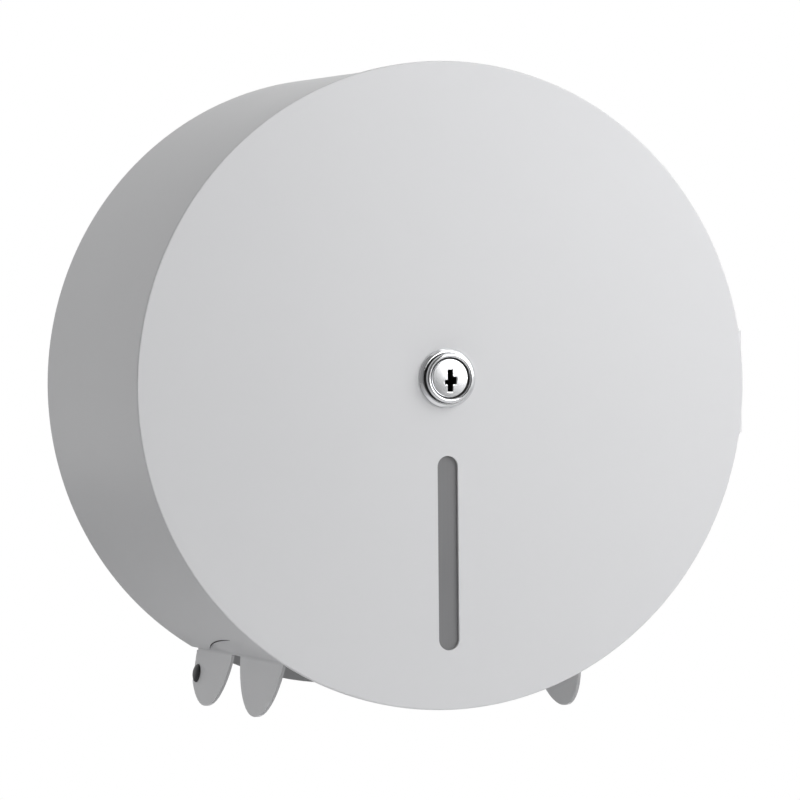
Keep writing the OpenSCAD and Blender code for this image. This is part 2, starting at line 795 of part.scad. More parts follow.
back_plate();
side_band();
tear_plate_left();
tear_plate_right();
tooth_rivets();
spindle_base();
spindle_tube();
base_screws();
base_washers();
base_nuts();
keeper_plate();
thrust_washer();
roll_hub();
snap_ring();
band_hinge_leaf();
lid_hinge_leaf();
hinge_pin();
lid();
level_window();
window_studs();
push_nuts();
lock_collar();
lock_barrel();
lock_washer();
lock_nut();
lock_plug();
lock_cam();
cam_washer();
cam_screw();
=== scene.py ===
# Looks of the wall-mounted drum for one jumbo toilet roll.
# Lengths in the dictionaries are millimetres. A place is (across, up, out): out is
# measured from the wall into the room, which is -Y in the frame.
import json
import math

import bmesh
import bpy
from mathutils import Matrix, Vector

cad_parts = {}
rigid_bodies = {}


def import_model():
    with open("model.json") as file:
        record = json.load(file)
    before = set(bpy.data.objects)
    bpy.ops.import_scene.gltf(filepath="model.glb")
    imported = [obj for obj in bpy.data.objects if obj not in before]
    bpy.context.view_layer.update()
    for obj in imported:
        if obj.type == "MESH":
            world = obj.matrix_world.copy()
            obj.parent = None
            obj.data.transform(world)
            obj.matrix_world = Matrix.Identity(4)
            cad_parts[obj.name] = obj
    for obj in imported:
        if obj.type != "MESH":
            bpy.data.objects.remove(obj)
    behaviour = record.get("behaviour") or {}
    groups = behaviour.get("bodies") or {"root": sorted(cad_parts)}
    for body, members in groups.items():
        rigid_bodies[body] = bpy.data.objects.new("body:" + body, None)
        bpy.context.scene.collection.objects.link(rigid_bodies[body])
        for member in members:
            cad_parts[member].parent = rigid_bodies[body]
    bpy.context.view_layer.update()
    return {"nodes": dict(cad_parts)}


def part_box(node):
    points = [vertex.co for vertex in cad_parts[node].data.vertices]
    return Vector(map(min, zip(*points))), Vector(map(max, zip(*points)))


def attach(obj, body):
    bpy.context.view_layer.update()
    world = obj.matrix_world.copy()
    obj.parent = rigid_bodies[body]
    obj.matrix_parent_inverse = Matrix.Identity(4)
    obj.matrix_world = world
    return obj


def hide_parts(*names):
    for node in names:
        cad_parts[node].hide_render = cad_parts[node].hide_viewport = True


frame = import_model()
print("frame loaded:", len(frame["nodes"]), "nodes")

mm = 0.001


def hung(across, up, out):
    return Vector((across * mm, -out * mm, up * mm))


def nodeSpan(node):
    low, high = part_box(node)  # as (low, high) pairs across, up and out
    return (low.x / mm, high.x / mm), (low.z / mm, high.z / mm), (-high.y / mm, -low.y / mm)


lidUp, (lidRear, lidFace) = nodeSpan("lid")[1:]
bandUp, bandOut = nodeSpan("side_band")[1:]
tubeUp = nodeSpan("spindle_tube")[1]
lidRadius = (lidUp[1] - lidUp[0]) / 2
bandRadius = bandUp[1]
axisUp = (tubeUp[0] + tubeUp[1]) / 2
sheet = 1.2  # steel of the lid, the band and the tear plates


# a socket with arithmetic, and one method for every other node
class Wire:
    def __init__(self, tree, socket=None):
        self.tree = tree
        self.socket = socket

    def node(self, kind, settings=None, sockets=None, out=0):
        made = self.tree.nodes.new(kind)
        for key, value in (settings or {}).items():
            if key == "stops":
                ramp = made.color_ramp
                while len(ramp.elements) < len(value):
                    ramp.elements.new(1)
                for stop, (place, grey) in zip(ramp.elements, value):
                    stop.position = place
                    stop.color = (grey, grey, grey, 1)
            else:
                setattr(made, key, value)
        for key, value in (sockets or {}).items():
            if isinstance(value, Wire):
                self.tree.links.new(value.socket, made.inputs[key])
            else:
                made.inputs[key].default_value = value
        return Wire(self.tree, made.outputs[out] if made.outputs else None)

    def pick(self, label):
        # another output of the same node
        return Wire(self.tree, self.socket.node.outputs[label])

    def calc(self, operation, first, second=0.0):
        return self.node("ShaderNodeMath", {"operation": operation}, {0: first, 1: second})

    def __add__(self, other):
        return self.calc("ADD", self, other)

    def __sub__(self, other):
        return self.calc("SUBTRACT", self, other)

    def __mul__(self, other):
        return self.calc("MULTIPLY", self, other)

    def __truediv__(self, other):
        return self.calc("DIVIDE", self, other)

    def __rsub__(self, other):
        return self.calc("SUBTRACT", other, self)

    __radd__ = __add__
    __rmul__ = __mul__


def mixed(wire, share, first, second):
    # colour between two colours, each (r, g, b)
    return wire.node("ShaderNodeMix", {"data_type": "RGBA"},
                     {0: share, 6: (*first, 1), 7: (*second, 1)}, out=2)


def startFinish(name):
    material = bpy.data.materials.new(name)
    material.use_nodes = True
    material.node_tree.nodes.clear()
    wire = Wire(material.node_tree)
    return material, wire, wire.node("ShaderNodeTexCoord", out=3)


def noise(wire, where, scale, detail=2.0, rough=0.5):
    return wire.node("ShaderNodeTexNoise", {"noise_dimensions": "3D"},
                     {"Vector": where, "Scale": scale, "Detail": detail, "Roughness": rough})


def endFinish(wire, constants, sockets):
    shader = wire.node("ShaderNodeBsdfPrincipled", None, {**constants, **sockets})
    wire.node("ShaderNodeOutputMaterial", None, {"Surface": shader})


def bumped(wire, height, strength, depth):
    return wire.node("ShaderNodeBump", None,
                     {"Height": height, "Strength": strength, "Distance": depth * mm})


# in every finish, a scale counts the cells of its pattern in a metre, and a depth is
# that of the relief in millimetres
powderCoat = {
    "pale": (0.731, 0.734, 0.746),
    "shade": (0.695, 0.699, 0.714),
    "roughness": 0.40,
    "peelSize": 1.9,      # one dimple of the orange peel
    "grainSize": 0.42,
    "peelDepth": 0.010,
    "inShade": 0.55,      # tone of the wall plate's coat, darkened as painted shade for the shade deep inside the drum
    "edgeShade": 0.68,      # and of the tear plates' cut edges, darkened as painted shade so that their lit edges show no bright rim
    "cloudScale": 9,      # broad mottling
}


def makePowderCoat(name, tone=1.0):
    material, wire, where = startFinish(name)
    cloud = noise(wire, where, powderCoat["cloudScale"], 3)
    peel = noise(wire, where, 1 / (powderCoat["peelSize"] * mm), 1.5, 0.4)
    grain = noise(wire, where, 1 / (powderCoat["grainSize"] * mm), 2, 0.6)
    pale = tuple(tone * part for part in powderCoat["pale"])
    shade = tuple(tone * part for part in powderCoat["shade"])
    share = cloud * 0.75 + grain * 0.25
    endFinish(wire, {"Specular IOR Level": 0.5, "IOR": 1.5}, {
        "Base Color": mixed(wire, share, pale, shade),
        "Roughness": powderCoat["roughness"] + (grain - 0.5) * 0.16 + (cloud - 0.5) * 0.08,
        "Normal": bumped(wire, peel * 0.75 + grain * 0.25, 0.5, powderCoat["peelDepth"]),
    })
    return material


polish = {
    "bright": (0.80, 0.80, 0.81), "dull": (0.70, 0.71, 0.73), "roughness": 0.07,
    "smearScale": 160, "scratchScale": 2400, "depth": 0.002,
    "turnedRoughness": 0.15, "turnedScale": 6500, "turnedDepth": 0.003,
}


def makePolish(name, brushed=False):
    # nickel-chrome; the brushed form has fine rings turned round the lock's axis
    material, wire, where = startFinish(name)
    smear = noise(wire, where, polish["smearScale"], 3)
    scratch = noise(wire, where, polish["scratchScale"], 2, 0.7)
    rough = polish["roughness"] + smear * 0.06 + scratch * 0.03
    height = smear * 0.6 + scratch * 0.4
    depth = polish["depth"]
    if brushed:
        parts = wire.node("ShaderNodeSeparateXYZ", None, {0: where})
        across = parts.pick("X")
        up = parts.pick("Z") - axisUp * mm
        turned = wire.node("ShaderNodeTexNoise", {"noise_dimensions": "1D"}, {
            "W": wire.calc("SQRT", across * across + up * up),
            "Scale": polish["turnedScale"], "Detail": 2, "Roughness": 0.6})
        rough = polish["turnedRoughness"] + turned * 0.12 + smear * 0.04
        height = turned
        depth = polish["turnedDepth"]
    endFinish(wire, {"Metallic": 1.0}, {
        "Base Color": mixed(wire, smear, polish["bright"], polish["dull"]),
        "Roughness": rough,
        "Normal": bumped(wire, height, 0.4, depth),
    })
    return material


zinc = {
    "blue": (0.56, 0.59, 0.63), "warm": (0.62, 0.61, 0.57), "roughness": 0.27,
    "tintScale": 55, "spangleScale": 420, "grainScale": 1900, "depth": 0.006,
}


def makeZinc(name):
    material, wire, where = startFinish(name)
    tint = noise(wire, where, zinc["tintScale"], 3, 0.6)
    spangle = wire.node("ShaderNodeTexVoronoi", {"feature": "F1"},
                        {"Vector": where, "Scale": zinc["spangleScale"]})
    grain = noise(wire, where, zinc["grainScale"], 3, 0.6)
    share = tint * 0.8 + spangle * 0.3
    endFinish(wire, {"Metallic": 1.0}, {
        "Base Color": mixed(wire, share, zinc["blue"], zinc["warm"]),
        "Roughness": zinc["roughness"] + (tint - 0.5) * 0.14 + grain * 0.12,
        "Normal": bumped(wire, grain * 0.6 + tint * 0.4, 0.4, zinc["depth"]),
    })
    return material


moulded = {
    "light": (0.56, 0.57, 0.58), "dark": (0.50, 0.51, 0.525), "roughness": 0.42,
    "flowScale": 26, "pitScale": 1700, "grainScale": 2600, "depth": 0.016,
}


def makeMoulded(name):
    # spark-eroded grain of an injection moulding, with faint flow marks
    material, wire, where = startFinish(name)
    flow = noise(wire, where, moulded["flowScale"], 2, 0.5)
    pits = wire.node("ShaderNodeTexVoronoi", {"feature": "F1"},
                     {"Vector": where, "Scale": moulded["pitScale"]})
    grain = noise(wire, where, moulded["grainScale"], 2, 0.6)
    endFinish(wire, {"Subsurface Weight": 0.03, "Subsurface Scale": 0.002}, {
        "Base Color": mixed(wire, flow * 0.8 + grain * 0.2, moulded["light"], moulded["dark"]),
        "Roughness": moulded["roughness"] + pits * 0.22,
        "Normal": bumped(wire, pits * 0.6 + grain * 0.4, 0.5, moulded["depth"]),
    })
    return material


nylon = {
    "pale": (0.80, 0.79, 0.75), "dull": (0.72, 0.71, 0.67), "roughness": 0.36,
    "hazeScale": 120, "turnedScale": 1500, "depth": 0.01,
}


def makeNylon(name):
    material, wire, where = startFinish(name)
    haze = noise(wire, where, nylon["hazeScale"], 3, 0.5)
    turned = noise(wire, where, nylon["turnedScale"], 2, 0.6)
    endFinish(wire, {"Subsurface Weight": 0.25, "Subsurface Scale": 0.003}, {
        "Base Color": mixed(wire, haze, nylon["pale"], nylon["dull"]),
        "Roughness": nylon["roughness"] + turned * 0.16,
        "Normal": bumped(wire, turned, 0.4, nylon["depth"]),
    })
    return material


smoke = {
    "light": (0.222, 0.222, 0.227), "dark": (0.180, 0.180, 0.185), "roughness": 0.30,
    "lines": (1600, 1600, 22),  # fine across the strip, drawn out along it
    "dustScale": 900, "cloudScale": 30, "depth": 0.008,
}


def makeSmoke(name):
    # extruded smoke grey strip: fine lines run along it
    material, wire, where = startFinish(name)
    along = wire.node("ShaderNodeMapping", None, {"Vector": where, "Scale": smoke["lines"]})
    lines = wire.node("ShaderNodeTexNoise", {"noise_dimensions": "3D"},
                      {"Vector": along, "Scale": 1, "Detail": 2})
    dust = noise(wire, where, smoke["dustScale"], 3, 0.7)
    cloud = noise(wire, where, smoke["cloudScale"], 2, 0.5)
    endFinish(wire, {"Specular IOR Level": 0.5, "IOR": 1.49}, {
        "Base Color": mixed(wire, cloud * 0.6 + lines * 0.4, smoke["light"], smoke["dark"]),
        "Roughness": smoke["roughness"] + lines * 0.16 + dust * 0.10,
        "Normal": bumped(wire, lines * 0.7 + dust * 0.3, 0.35, smoke["depth"]),
    })
    return material


black = {
    "deep": (0.012, 0.012, 0.013), "rubbed": (0.040, 0.040, 0.043), "roughness": 0.34,
    "rubScale": 320, "grainScale": 2300, "depth": 0.008,
}


def makeBlack(name):
    material, wire, where = startFinish(name)
    rub = noise(wire, where, black["rubScale"], 3, 0.6)
    grain = noise(wire, where, black["grainScale"], 2, 0.6)
    endFinish(wire, {"Specular IOR Level": 0.5}, {
        "Base Color": mixed(wire, rub, black["deep"], black["rubbed"]),
        "Roughness": black["roughness"] + grain * 0.18 + rub * 0.08,
        "Normal": bumped(wire, grain, 0.4, black["depth"]),
    })
    return material


paintedShade = {
    "deep": (0.006, 0.006, 0.006), "mottle": (0.022, 0.021, 0.020), "roughness": 0.5,
    "mottleScale": 420, "grainScale": 2600, "depth": 0.01,
}


def makePaintedShade(name):
    # painted shade: near-black finish that stands in for the shade deep in the lock and along the
    # band's arches
    material, wire, where = startFinish(name)
    mottle = noise(wire, where, paintedShade["mottleScale"], 3, 0.6)
    grain = noise(wire, where, paintedShade["grainScale"], 2, 0.6)
    endFinish(wire, {"Specular IOR Level": 0.3}, {
        "Base Color": mixed(wire, mottle, paintedShade["deep"], paintedShade["mottle"]),
        "Roughness": paintedShade["roughness"] + grain * 0.3,
        "Normal": bumped(wire, grain, 0.4, paintedShade["depth"]),
    })
    return material


coatFinish = makePowderCoat("powderCoatPale")
# painted shade: a darker coat for the wall plate, standing in for the shade inside the drum
shadeFinish = makePowderCoat("powderCoatShade", powderCoat["inShade"])
# painted shade: a darker coat for the tear plates' lit cut edges
edgeShadeFinish = makePowderCoat("powderCoatEdge", powderCoat["edgeShade"])
chromeFinish = makePolish("chromePolished")
plugFinish = makePolish("chromeTurned", brushed=True)
# painted shade for the lock's groove, keyway and head side, and for the band's arch lines
paintedShadeFinish = makePaintedShade("lockTarnish")
zincFinish = makeZinc("zincPlated")
mouldedFinish = makeMoulded("mouldedGrey")
nylonFinish = makeNylon("naturalNylon")
smokeFinish = makeSmoke("smokeStrip")
blackFinish = makeBlack("blackOxide")
print("finishes made")


# outlines and solids
def roundCorners(corners, loop=True, arcSteps=5):
    # corners are (a, b) or (a, b, radius)
    path = []
    last = len(corners) - 1
    for i, corner in enumerate(corners):
        here = Vector(corner[:2])
        radius = corner[2] if len(corner) > 2 else 0
        if radius == 0 or (not loop and i in (0, last)):
            path.append(here)
            continue
        back = (Vector(corners[i - 1][:2]) - here).normalized()
        on = (Vector(corners[(i + 1) % (last + 1)][:2]) - here).normalized()
        half = back.angle(on) / 2
        centre = here + (back + on).normalized() * (radius / math.sin(half))
        start = here + back * (radius / math.tan(half)) - centre
        end = here + on * (radius / math.tan(half)) - centre
        sweep = math.pi - 2 * half
        for k in range(arcSteps + 1):
            t = k / arcSteps
            turn = math.sin((1 - t) * sweep) * start + math.sin(t * sweep) * end
            path.append(centre + turn / math.sin(sweep))
    return path


def circlePath(radius, steps=64, across=0.0, up=0.0):
    return [Vector((across + radius * math.cos(math.tau * k / steps),
                    up + radius * math.sin(math.tau * k / steps))) for k in range(steps)]


def addPiece(name, mesh):
    piece = bpy.data.objects.new(name, mesh)
    bpy.context.scene.collection.objects.link(piece)
    return piece


def closeMesh(name, shape):
    bmesh.ops.remove_doubles(shape, verts=shape.verts, dist=0.0005 * mm)
    bmesh.ops.recalc_face_normals(shape, faces=shape.faces)
    mesh = bpy.data.meshes.new(name)
    shape.to_mesh(mesh)
    shape.free()
    return addPiece(name, mesh)


def ringsToPiece(name, rings, loop=False):
    # each ring is a closed list of points; the ends are capped unless they loop
    shape = bmesh.new()
    rows = [[shape.verts.new(point) for point in ring] for ring in rings]
    count = len(rows[0])
    pairs = list(zip(rows, rows[1:]))
    if loop:
        pairs.append((rows[-1], rows[0]))
    for low, high in pairs:
        for k in range(count):
            n = (k + 1) % count
            shape.faces.new((low[k], low[n], high[n], high[k]))
    if not loop:
        shape.faces.new(rows[0])
        shape.faces.new(rows[-1])
    return closeMesh(name, shape)


def lathe(name, corners, loop=True, steps=128, up=None, arcSteps=5):
    # corners are (radius, out, rounding) round the spindle axis; an open profile is
    # capped, so it starts and ends a little way off the axis
    middle = axisUp if up is None else up
    rings = []
    for point in roundCorners(corners, loop, arcSteps):
        rings.append([hung(point.x * math.cos(math.tau * k / steps),
                           middle + point.x * math.sin(math.tau * k / steps), point.y)
                      for k in range(steps)])
    return ringsToPiece(name, rings, loop)


def prism(name, outline, low, high):
    return ringsToPiece(name, [[hung(p.x, p.y, out) for p in outline] for out in (low, high)])


def onAxis(piece):
    # from round the origin up to the spindle's axis
    piece.data.transform(Matrix.Translation(hung(0, axisUp, 0)))
    return piece


def plainMesh(piece):
    # the piece with its modifiers worked in
    bpy.context.view_layer.update()
    graph = bpy.context.evaluated_depsgraph_get()
    made = bpy.data.meshes.new_from_object(piece.evaluated_get(graph), depsgraph=graph)
    made.name = piece.name
    piece.modifiers.clear()
    piece.data = made
    return piece


def cut(piece, *cutters, operation="DIFFERENCE"):
    for cutter in cutters:
        step = piece.modifiers.new("cut", "BOOLEAN")
        step.operation = operation
        step.solver = "EXACT"
        step.object = cutter
        plainMesh(piece)
        bpy.data.objects.remove(cutter)
    return piece


def soften(piece, width=0.2, segments=2, angle=32, sharp=38):
    # rounds the sharp edges of sheet and turned parts
    if width:
        step = piece.modifiers.new("edges", "BEVEL")
        step.width = width * mm
        step.segments = segments
        step.limit_method = "ANGLE"
        step.angle_limit = math.radians(angle)
        step.use_clamp_overlap = True
        plainMesh(piece)
    for face in piece.data.polygons:
        face.use_smooth = True
    piece.data.set_sharp_from_angle(angle=math.radians(sharp))
    step = piece.modifiers.new("shading", "WEIGHTED_NORMAL")
    step.keep_sharp = True
    return plainMesh(piece)


def join(name, *pieces):
    shape = bmesh.new()
    for piece in pieces:
        shape.from_mesh(piece.data)
        bpy.data.objects.remove(piece)
    mesh = bpy.data.meshes.new(name)
    shape.to_mesh(mesh)
    shape.free()
    return addPiece(name, mesh)


def copyNode(name, node):
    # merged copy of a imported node, its flat faces whole again
    shape = bmesh.new()
    shape.from_mesh(frame["nodes"][node].data)
    bmesh.ops.remove_doubles(shape, verts=shape.verts, dist=0.002 * mm)
    bmesh.ops.dissolve_limit(shape, angle_limit=math.radians(0.4), verts=shape.verts,
                             edges=shape.edges)
    mesh = bpy.data.meshes.new(name)
    shape.to_mesh(mesh)
    shape.free()
    return addPiece(name, mesh)


def settle(piece, finish, body, slot, *nodes, inner=None, isInner=None):
    # the last step of every piece; faces that isInner picks take the inner finish
    piece.data.materials.clear()
    piece.data.materials.append(finish)
    if inner:
        piece.data.materials.append(inner)
        for face in piece.data.polygons:
            face.material_index = int(isInner(face))
    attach(piece, body)
    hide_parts(*nodes)
    return piece


# geometry node trees
def newTree(name, inputs):
    tree = bpy.data.node_groups.new(name, "GeometryNodeTree")
    tree.interface.new_socket("Geometry", in_out="OUTPUT", socket_type="NodeSocketGeometry")
    for label, kind in inputs:
        tree.interface.new_socket(label, in_out="INPUT", socket_type="NodeSocket" + kind)
    given = tree.nodes.new("NodeGroupInput")
    return Wire(tree), {label: Wire(tree, given.outputs[label]) for label, _ in inputs}


def shapeOf(wire, given):
    return wire.node("GeometryNodeObjectInfo", None, {"Object": given["Shape"]}).pick("Geometry")


def endTree(wire, geometry, finish):
    real = wire.node("GeometryNodeRealizeInstances", None, {"Geometry": geometry})
    painted = wire.node("GeometryNodeSetMaterial", None, {"Geometry": real, "Material": finish})
    wire.node("NodeGroupOutput", None, {"Geometry": painted})
    return wire.tree


def runTree(name, tree, values):
    piece = addPiece(name, bpy.data.meshes.new(name))
    step = piece.modifiers.new("build", "NODES")
    step.node_group = tree
    for item in tree.interface.items_tree:
        if item.in_out == "INPUT" and item.name in values:
            step[item.identifier] = values[item.name]
    return plainMesh(piece)


def roundTree():
    # copies of one shape, evenly spaced round an axis square to the wall
    wire, given = newTree("copiesRound", [
        ("Shape", "Object"), ("Count", "Int"), ("Radius", "Float"), ("First turn", "Float"),
        ("Centre", "Vector"), ("Finish", "Material")])
    points = wire.node("GeometryNodeMeshLine", {"mode": "OFFSET"}, {"Count": given["Count"]})
    index = wire.node("GeometryNodeInputIndex")
    turn = given["First turn"] + index * math.tau / given["Count"]
    offset = wire.node("ShaderNodeCombineXYZ", None, {
        0: wire.calc("COSINE", turn) * given["Radius"],
        2: wire.calc("SINE", turn) * given["Radius"]})
    place = wire.node("ShaderNodeVectorMath", {"operation": "ADD"},
                      {0: offset, 1: given["Centre"]})
    placed = wire.node("GeometryNodeSetPosition", None, {"Geometry": points, "Position": place})
    shape = shapeOf(wire, given)
    angles = wire.node("ShaderNodeCombineXYZ", None, {1: 0 - turn})
    copies = wire.node("GeometryNodeInstanceOnPoints", None,
                       {"Points": placed, "Instance": shape, "Rotation": angles})
    return endTree(wire, copies, given["Finish"])


def rowTree():
    # copies of one shape along a straight row
    wire, given = newTree("copiesInRow", [
        ("Shape", "Object"), ("Count", "Int"), ("Start", "Vector"), ("Step", "Vector"),
        ("Finish", "Material")])
    points = wire.node("GeometryNodeMeshLine", {"mode": "OFFSET"}, {
        "Count": given["Count"], "Start Location": given["Start"], "Offset": given["Step"]})
    shape = shapeOf(wire, given)
    copies = wire.node("GeometryNodeInstanceOnPoints", None, {"Points": points, "Instance": shape})
    return endTree(wire, copies, given["Finish"])


def pairTree():
    # a shape and its mirror image across the middle of the drum
    wire, given = newTree("mirroredPair", [("Shape", "Object"), ("Finish", "Material")])
    shape = shapeOf(wire, given)
    other = wire.node("GeometryNodeTransform", None, {"Geometry": shape, "Scale": (-1, 1, 1)})
    turned = wire.node("GeometryNodeFlipFaces", None, {"Mesh": other})
    both = wire.tree.nodes.new("GeometryNodeJoinGeometry")
    for part in (shape, turned):
        wire.tree.links.new(part.socket, both.inputs[0])
    return endTree(wire, Wire(wire.tree, both.outputs[0]), given["Finish"])


def rolledTree():
    # sheet rolled round an open arc, square to the wall
    wire, given = newTree("rolledSheet", [
        ("Radius", "Float"), ("Sheet", "Float"), ("Depth", "Float"), ("Half opening", "Float"),
        ("Edge rounding", "Float"), ("Steps", "Int"), ("Finish", "Material")])
    arc = wire.node("GeometryNodeCurveArc", {"mode": "RADIUS"}, {
        "Resolution": given["Steps"], "Radius": given["Radius"] - given["Sheet"] * 0.5,
        "Start Angle": given["Half opening"] - math.pi / 2,
        "Sweep Angle": math.tau - given["Half opening"] * 2})
    section = wire.node("GeometryNodeCurvePrimitiveQuadrilateral", {"mode": "RECTANGLE"}, {
        "Width": given["Sheet"], "Height": given["Depth"]})
    rounded = wire.node("GeometryNodeFilletCurve", {"mode": "POLY"}, {
        "Curve": section, "Radius": given["Edge rounding"], "Count": 3})
    rolled = wire.node("GeometryNodeCurveToMesh", None, {
        "Curve": arc, "Profile Curve": rounded, "Fill Caps": True})
    lift = wire.node("ShaderNodeCombineXYZ", None, {1: given["Depth"] * -0.5})
    stood = wire.node("GeometryNodeTransform", None, {
        "Geometry": rolled, "Translation": lift, "Rotation": (math.pi / 2, 0, 0)})
    return endTree(wire, stood, given["Finish"])


copiesRound = roundTree()
copiesInRow = rowTree()
mirroredPair = pairTree()
rolledSheet = rolledTree()


def hiddenShape(piece):
    # a shape that only the trees use
    bpy.context.scene.collection.objects.unlink(piece)
    return piece


def threadedRod(name, radius, pitch, depth, low, high, flat=None, steps=48):
    # a real helical thread; flats cut its two sides where they are given
    levels = int((high - low) / pitch * 8)
    rings = []
    for i in range(levels + 1):
        out = low + (high - low) * i / levels
        taper = min(1, (out - low) / pitch, (high - out) / pitch)
        ring = []
        for k in range(steps):
            phase = (out / pitch - k / steps) % 1
            r = radius - depth * (1 - abs(2 * phase - 1)) - depth * 0.6 * (1 - taper)
            across = r * math.cos(math.tau * k / steps)
            if flat is not None:
                across = max(-flat, min(flat, across))
            ring.append(hung(across, r * math.sin(math.tau * k / steps), out))
        rings.append(ring)
    return ringsToPiece(name, rings)


def hexNut(name, flats, height, bore, low=0.0, steps=96):
    # hexagon whose corners are turned off at 30 degrees
    levels = [0, 0.05, 0.12, 0.2, 0.5, 0.8, 0.88, 0.95, 1]
    chamfer = flats / 2 * 0.97
    outer = []
    for share in levels:
        fromEnd = min(share, 1 - share) * height
        ring = []
        for k in range(steps):
            turn = math.tau * k / steps
            side = (turn + math.pi / 6) % (math.pi / 3) - math.pi / 6
            r = min(flats / 2 / math.cos(side), chamfer + fromEnd / math.tan(math.radians(30)))
            ring.append(hung(r * math.cos(turn), r * math.sin(turn), low + share * height))
        outer.append(ring)
    lead = 0.35
    inner = []
    for r, out in ((bore + lead, height), (bore, height - lead), (bore, lead), (bore + lead, 0)):
        inner.append([hung(r * math.cos(math.tau * k / steps), r * math.sin(math.tau * k / steps),
                           low + out) for k in range(steps)])
    return ringsToPiece(name, outer + inner, loop=True)


def toothedRing(name, inner, outer, thick, teeth, depth, inward, low=0.0):
    # washer with teeth on its inner edge, or on its outer one
    steps = teeth * 8
    rings = []
    for edge, out in ((inner, 0), (inner, thick), (outer, thick), (outer, 0)):
        ring = []
        for k in range(steps):
            turn = math.tau * k / steps
            gap = 1 if (k % 8) in (3, 4, 5) else 0
            r = edge
            if inward and edge == inner:
                r = edge + gap * depth
            if not inward and edge == outer:
                r = edge - gap * depth
            ring.append(hung(r * math.cos(turn), r * math.sin(turn), low + out))
        rings.append(ring)
    return ringsToPiece(name, rings, loop=True)


# the lid: a pan with a rolled edge, and a flange inside it that enters the band
lidShape = {
    "edgeRound": 0.6,     # front of the rolled edge
    "edgeDepth": 3.0,
    "hemRound": 0.5,      # back of the rolled edge
    "flangeIn": 3.6,      # flange, inside the edge
    "flangeRound": 0.4,   # its rear end
    "seamRound": 0.3,     # where it leaves the rolled edge
    "bendRound": 1.4,
    "blank": 8.0,         # radius left open in the middle, inside the lock's hole
    "slotWidth": 8.4,
    "slotTop": -27.0,
    "slotUp": 23.0,       # from the edge of the lid up to the slot
    "cutRound": 0.28,     # burnished edges of the punched holes
    "barrel": 9.05,
    "barrelFlat": 8.35,
}
slotBottom = lidShape["slotUp"] - lidRadius
hingeNotch = {
    "half": 22.0,         # of its height
    "across": (118, 130),
    "leafHalf": 9.55, "leafAcross": (119.0, 122.55),
    "rear": 100,          # both cuts start behind the flange
}
faceCut = (119, 125)      # out, through the face of the lid
stripCut = (115, 125)     # and through the strip behind it


def slotPath(width, top, bottom, steps=20):
    r = width / 2
    path = []
    for centre, first in ((top - r, 0), (bottom + r, math.pi)):
        path += [Vector((r * math.cos(first + math.pi * k / steps),
                         centre + r * math.sin(first + math.pi * k / steps)))
                 for k in range(steps + 1)]
    return path


def barrelPath(radius, flat, steps=72):
    return [Vector((max(-flat, min(flat, p.x)), p.y + axisUp)) for p in circlePath(radius, steps)]


def boxPath(left, right, bottom, top):
    return [Vector(p) for p in ((left, bottom), (right, bottom), (right, top), (left, top))]


def makeLid():
    s = lidShape
    flange = lidRadius - s["flangeIn"]
    hem = lidFace - s["edgeDepth"]
    piece = lathe("lidPan", [
        (s["blank"], lidFace), (lidRadius, lidFace, s["edgeRound"]),
        (lidRadius, hem, s["hemRound"]), (flange, hem, s["seamRound"]),
        (flange, lidRear, s["flangeRound"]), (flange - sheet, lidRear, s["flangeRound"]),
        (flange - sheet, lidFace - sheet, s["bendRound"]),
        (s["blank"], lidFace - sheet)], loop=False, steps=256, up=0.0)
    n = hingeNotch
    holes = [
        prism("slotCut", slotPath(s["slotWidth"], s["slotTop"], slotBottom), *faceCut),
        prism("lockCut", barrelPath(s["barrel"], s["barrelFlat"]), *faceCut),
        prism("leafCut", boxPath(*n["leafAcross"], -n["leafHalf"], n["leafHalf"]),
              n["rear"], lidFace - sheet),
        prism("notchCut", boxPath(*n["across"], -n["half"], n["half"]), n["rear"], hem),
    ]
    cut(piece, *holes)
    soften(piece, s["cutRound"], 3)
    return settle(piece, coatFinish, "lid", "white_paint", "lid")


makeLid()
print("lid made")


# the grey strip behind the level slot, on two welded studs with push nuts
windowStrip = {
    "width": 15.0, "thick": 1.0, "corner": 2.0,
    "lap": 8.0,           # how far it runs on past each end of the slot
    "studOff": 5.0,       # from the end of the slot to the stud
    "studHole": 1.6,
}
studShape = {
    "radius": 1.5, "tipRound": 0.35,
    "neck": 1.38,         # groove that the push nut bites into
    "tip": 0.9, "neckHigh": 0.15, "ease": 0.1,
    "weld": 0.1,          # free space to the back of the lid
}
pushNutShape = {
    "bore": 1.55, "outer": 4.2, "sheet": 0.35, "teeth": 6, "depth": 0.9,
    "rimIn": 3.1, "rimRound": 0.15, "edgeRound": 0.1,
    "lift": 0.02, "rimLift": 0.1,  # of the teeth and of the rim, off its low side
}
studUps = (lidShape["slotTop"] + windowStrip["studOff"], slotBottom - windowStrip["studOff"])


def makeWindow():
    s = windowStrip
    half = s["width"] / 2
    top = lidShape["slotTop"] + s["lap"]
    bottom = slotBottom - s["lap"]
    outline = roundCorners([(-half, bottom, s["corner"]), (half, bottom, s["corner"]),
                            (half, top, s["corner"]), (-half, top, s["corner"])])
    back = lidFace - sheet
    piece = prism("levelStrip", outline, back - s["thick"], back)
    for up in studUps:
        cut(piece, prism("studHole", circlePath(s["studHole"], 32, 0, up), *stripCut))
    soften(piece, 0.15)
    return settle(piece, smokeFinish, "lid", "window_plastic", "level_window")


